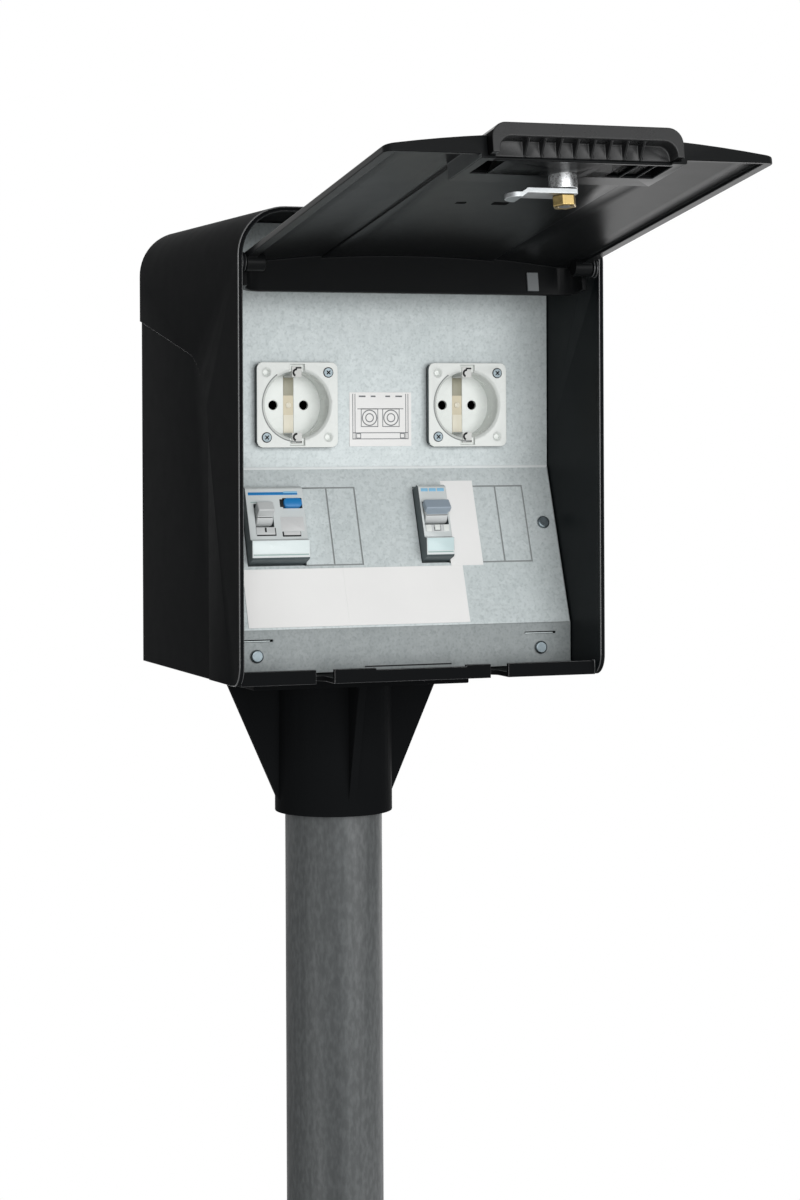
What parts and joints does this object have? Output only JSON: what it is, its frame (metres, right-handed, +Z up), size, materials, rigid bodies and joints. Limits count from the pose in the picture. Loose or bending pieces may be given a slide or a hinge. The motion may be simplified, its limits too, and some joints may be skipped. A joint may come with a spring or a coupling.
{
  "type": "garden socket post",
  "caption": "Black moulded outdoor power box on a round steel pole, its domed lid lifted over plug sockets and circuit breakers on a bent steel panel, with a cam lock in the lid.",
  "frame": {"origin": "centre of the pole's open lower end", "axes": "+Z up along the pole, -Y out of the box's open front, +X to the right seen from the front"},
  "size_m": [0.222, 0.4422, 1.1923],
  "materials": {
    "black_moulding": "satin moulded black",
    "black_rubber": "matt rubber",
    "galvanised_sheet": "zinc coated sheet with a fine mottle",
    "galvanised_pole": "dull zinc coated tube",
    "white_moulding": "glossy white",
    "beige_moulding": "matt light beige",
    "grey_moulding": "matt grey",
    "blue_moulding": "matt blue",
    "slate_moulding": "matt blue-grey",
    "plated_screws": "bright zinc plate",
    "lock_chrome": "polished plate",
    "brass": "machined brass",
    "label_paper": "matt white film"
  },
  "bodies": {
    "post": {"pole": "galvanised_pole", "collar": "black_moulding", "collar_bolts": "plated_screws", "collar_nuts": "plated_screws", "clamp_screws": "plated_screws", "housing_shell": "black_moulding", "back_cover": "black_moulding", "cover_screws": "plated_screws", "mounting_panel": "galvanised_sheet", "panel_screws": "plated_screws", "socket_frame_left": "white_moulding", "socket_frame_right": "white_moulding", "socket_seal_left": "black_rubber", "socket_seal_right": "black_rubber", "socket_insert_left": "beige_moulding", "socket_insert_right": "beige_moulding", "earth_clips_left": "plated_screws", "earth_clips_right": "plated_screws", "socket_contacts_left": "brass", "socket_contacts_right": "brass", "socket_screws": "plated_screws", "rcbo_body": "white_moulding", "mcb_body": "white_moulding", "din_rail": "galvanised_sheet", "rail_posts": "plated_screws", "terminal_block": "grey_moulding", "plan_label": "label_paper", "left_label": "label_paper", "right_label": "label_paper", "strip_label": "label_paper"},
    "lid": {"lid_shell": "black_moulding", "lid_handle": "black_moulding", "hinge_pins": "plated_screws", "lid_clip": "galvanised_sheet", "lock_sleeve": "lock_chrome"},
    "lock": {"lock_barrel": "lock_chrome", "lock_cam": "lock_chrome", "lock_nut": "brass"},
    "rcbo_switch": {"rcbo_toggle": "grey_moulding"},
    "rcbo_test": {"rcbo_test_button": "blue_moulding"},
    "mcb_switch": {"mcb_toggle": "slate_moulding"}
  },
  "joints": [
    {"name": "lid_hinge", "type": "hinge", "parent": "post", "child": "lid", "pos_m": [0, -0.159, 1.1369], "axis": [1, 0, 0], "range_deg": [0, 99.3]},
    {"name": "lock_turn", "type": "hinge", "parent": "lid", "child": "lock", "pos_m": [0, -0.36, 1.17184], "axis": [0, 0.1616, 0.9869], "range_deg": [0, 90]},
    {"name": "rcbo_toggle_swing", "type": "hinge", "parent": "post", "child": "rcbo_switch", "pos_m": [-0.07875, -0.10577, 0.99293], "axis": [1, 0, 0], "range_deg": [0, 50]},
    {"name": "rcbo_test_press", "type": "slide", "parent": "post", "child": "rcbo_test", "axis": [0, 0.938, -0.3467], "range_m": [0, 0.0014], "stiffness_N_per_m": 600},
    {"name": "mcb_toggle_swing", "type": "hinge", "parent": "post", "child": "mcb_switch", "pos_m": [0.02725, -0.10577, 0.99293], "axis": [1, 0, 0], "range_deg": [0, 50]}
  ]
}
